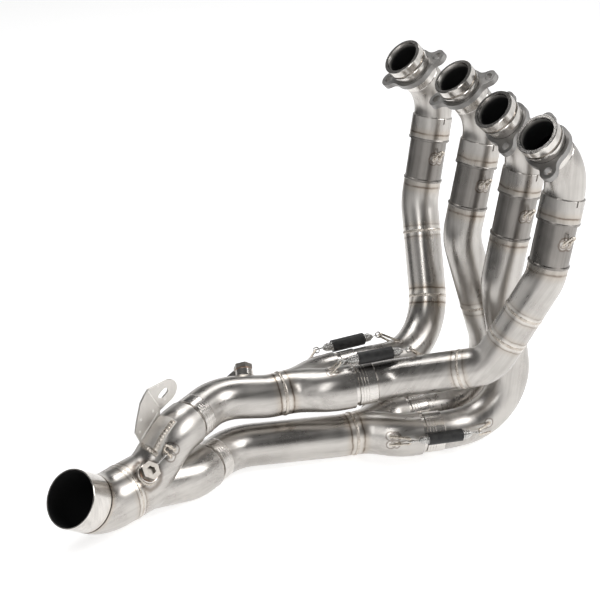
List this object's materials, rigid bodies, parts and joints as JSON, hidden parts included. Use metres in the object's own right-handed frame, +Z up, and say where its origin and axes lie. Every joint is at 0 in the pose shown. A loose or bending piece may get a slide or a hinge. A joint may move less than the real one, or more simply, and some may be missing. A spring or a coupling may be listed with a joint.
{
  "type": "motorcycle exhaust header",
  "caption": "Four-into-two-into-one titanium exhaust header for a motorcycle, with slip joints held by springs, stud flanges, a hanger bracket and a round outlet.",
  "frame": {"origin": "on the ground below the middle of the header's overall box, as it lies on a flat surface", "axes": "+X towards the front of the motorcycle, +Y towards its left side (cylinder 1), +Z up"},
  "size_m": [0.5354, 0.3108, 0.39],
  "materials": {
    "titanium_tube": "brushed titanium with heat tint at the welds",
    "machined_titanium": "turned, half bright",
    "flange_titanium": "matte, blasted",
    "spring_steel": "bright drawn wire",
    "hook_wire": "heat-tinted wire",
    "plug_steel": "plated steel",
    "black_rubber": "smooth black rubber tube",
    "copper_washer": "crushed sealing ring"
  },
  "bodies": {
    "root": {"collector_hook": "hook_wire", "collector_lower_leg": "titanium_tube", "collector_upper_leg": "titanium_tube", "front_plug_washer": "copper_washer", "front_sensor_boss": "machined_titanium", "front_sensor_plug": "plug_steel", "hanger_bracket": "titanium_tube", "head_elbow_1": "titanium_tube", "head_elbow_2": "titanium_tube", "head_elbow_3": "titanium_tube", "head_elbow_4": "titanium_tube", "joint_spring_1": "spring_steel", "joint_spring_2": "spring_steel", "joint_spring_3": "spring_steel", "joint_spring_4": "spring_steel", "joint_spring_hooks": "hook_wire", "lower_collar_1": "machined_titanium", "lower_collar_2": "machined_titanium", "lower_collar_3": "machined_titanium", "lower_collar_4": "machined_titanium", "lower_merge_left": "titanium_tube", "lower_merge_right": "titanium_tube", "lower_secondary": "titanium_tube", "lower_secondary_collar": "machined_titanium", "outlet_bend": "titanium_tube", "outlet_sleeve": "machined_titanium", "port_spigot_1": "machined_titanium", "port_spigot_2": "machined_titanium", "port_spigot_3": "machined_titanium", "port_spigot_4": "machined_titanium", "primary_pipe_1": "titanium_tube", "primary_pipe_2": "titanium_tube", "primary_pipe_3": "titanium_tube", "primary_pipe_4": "titanium_tube", "rear_boss_gusset": "titanium_tube", "rear_plug_washer": "copper_washer", "rear_sensor_boss": "machined_titanium", "rear_sensor_plug": "plug_steel", "section_spring_hooks": "hook_wire", "slip_sleeve_1": "titanium_tube", "slip_sleeve_2": "titanium_tube", "slip_sleeve_3": "titanium_tube", "slip_sleeve_4": "titanium_tube", "spring_rubber_1": "black_rubber", "spring_rubber_2": "black_rubber", "spring_rubber_3": "black_rubber", "spring_rubber_4": "black_rubber", "spring_section_1": "titanium_tube", "spring_section_2": "titanium_tube", "spring_section_3": "titanium_tube", "spring_section_4": "titanium_tube", "stud_flange_1": "flange_titanium", "stud_flange_2": "flange_titanium", "stud_flange_3": "flange_titanium", "stud_flange_4": "flange_titanium", "upper_merge_left": "titanium_tube", "upper_merge_right": "titanium_tube", "upper_secondary": "titanium_tube", "upper_secondary_collar": "machined_titanium"}
  },
  "joints": []
}
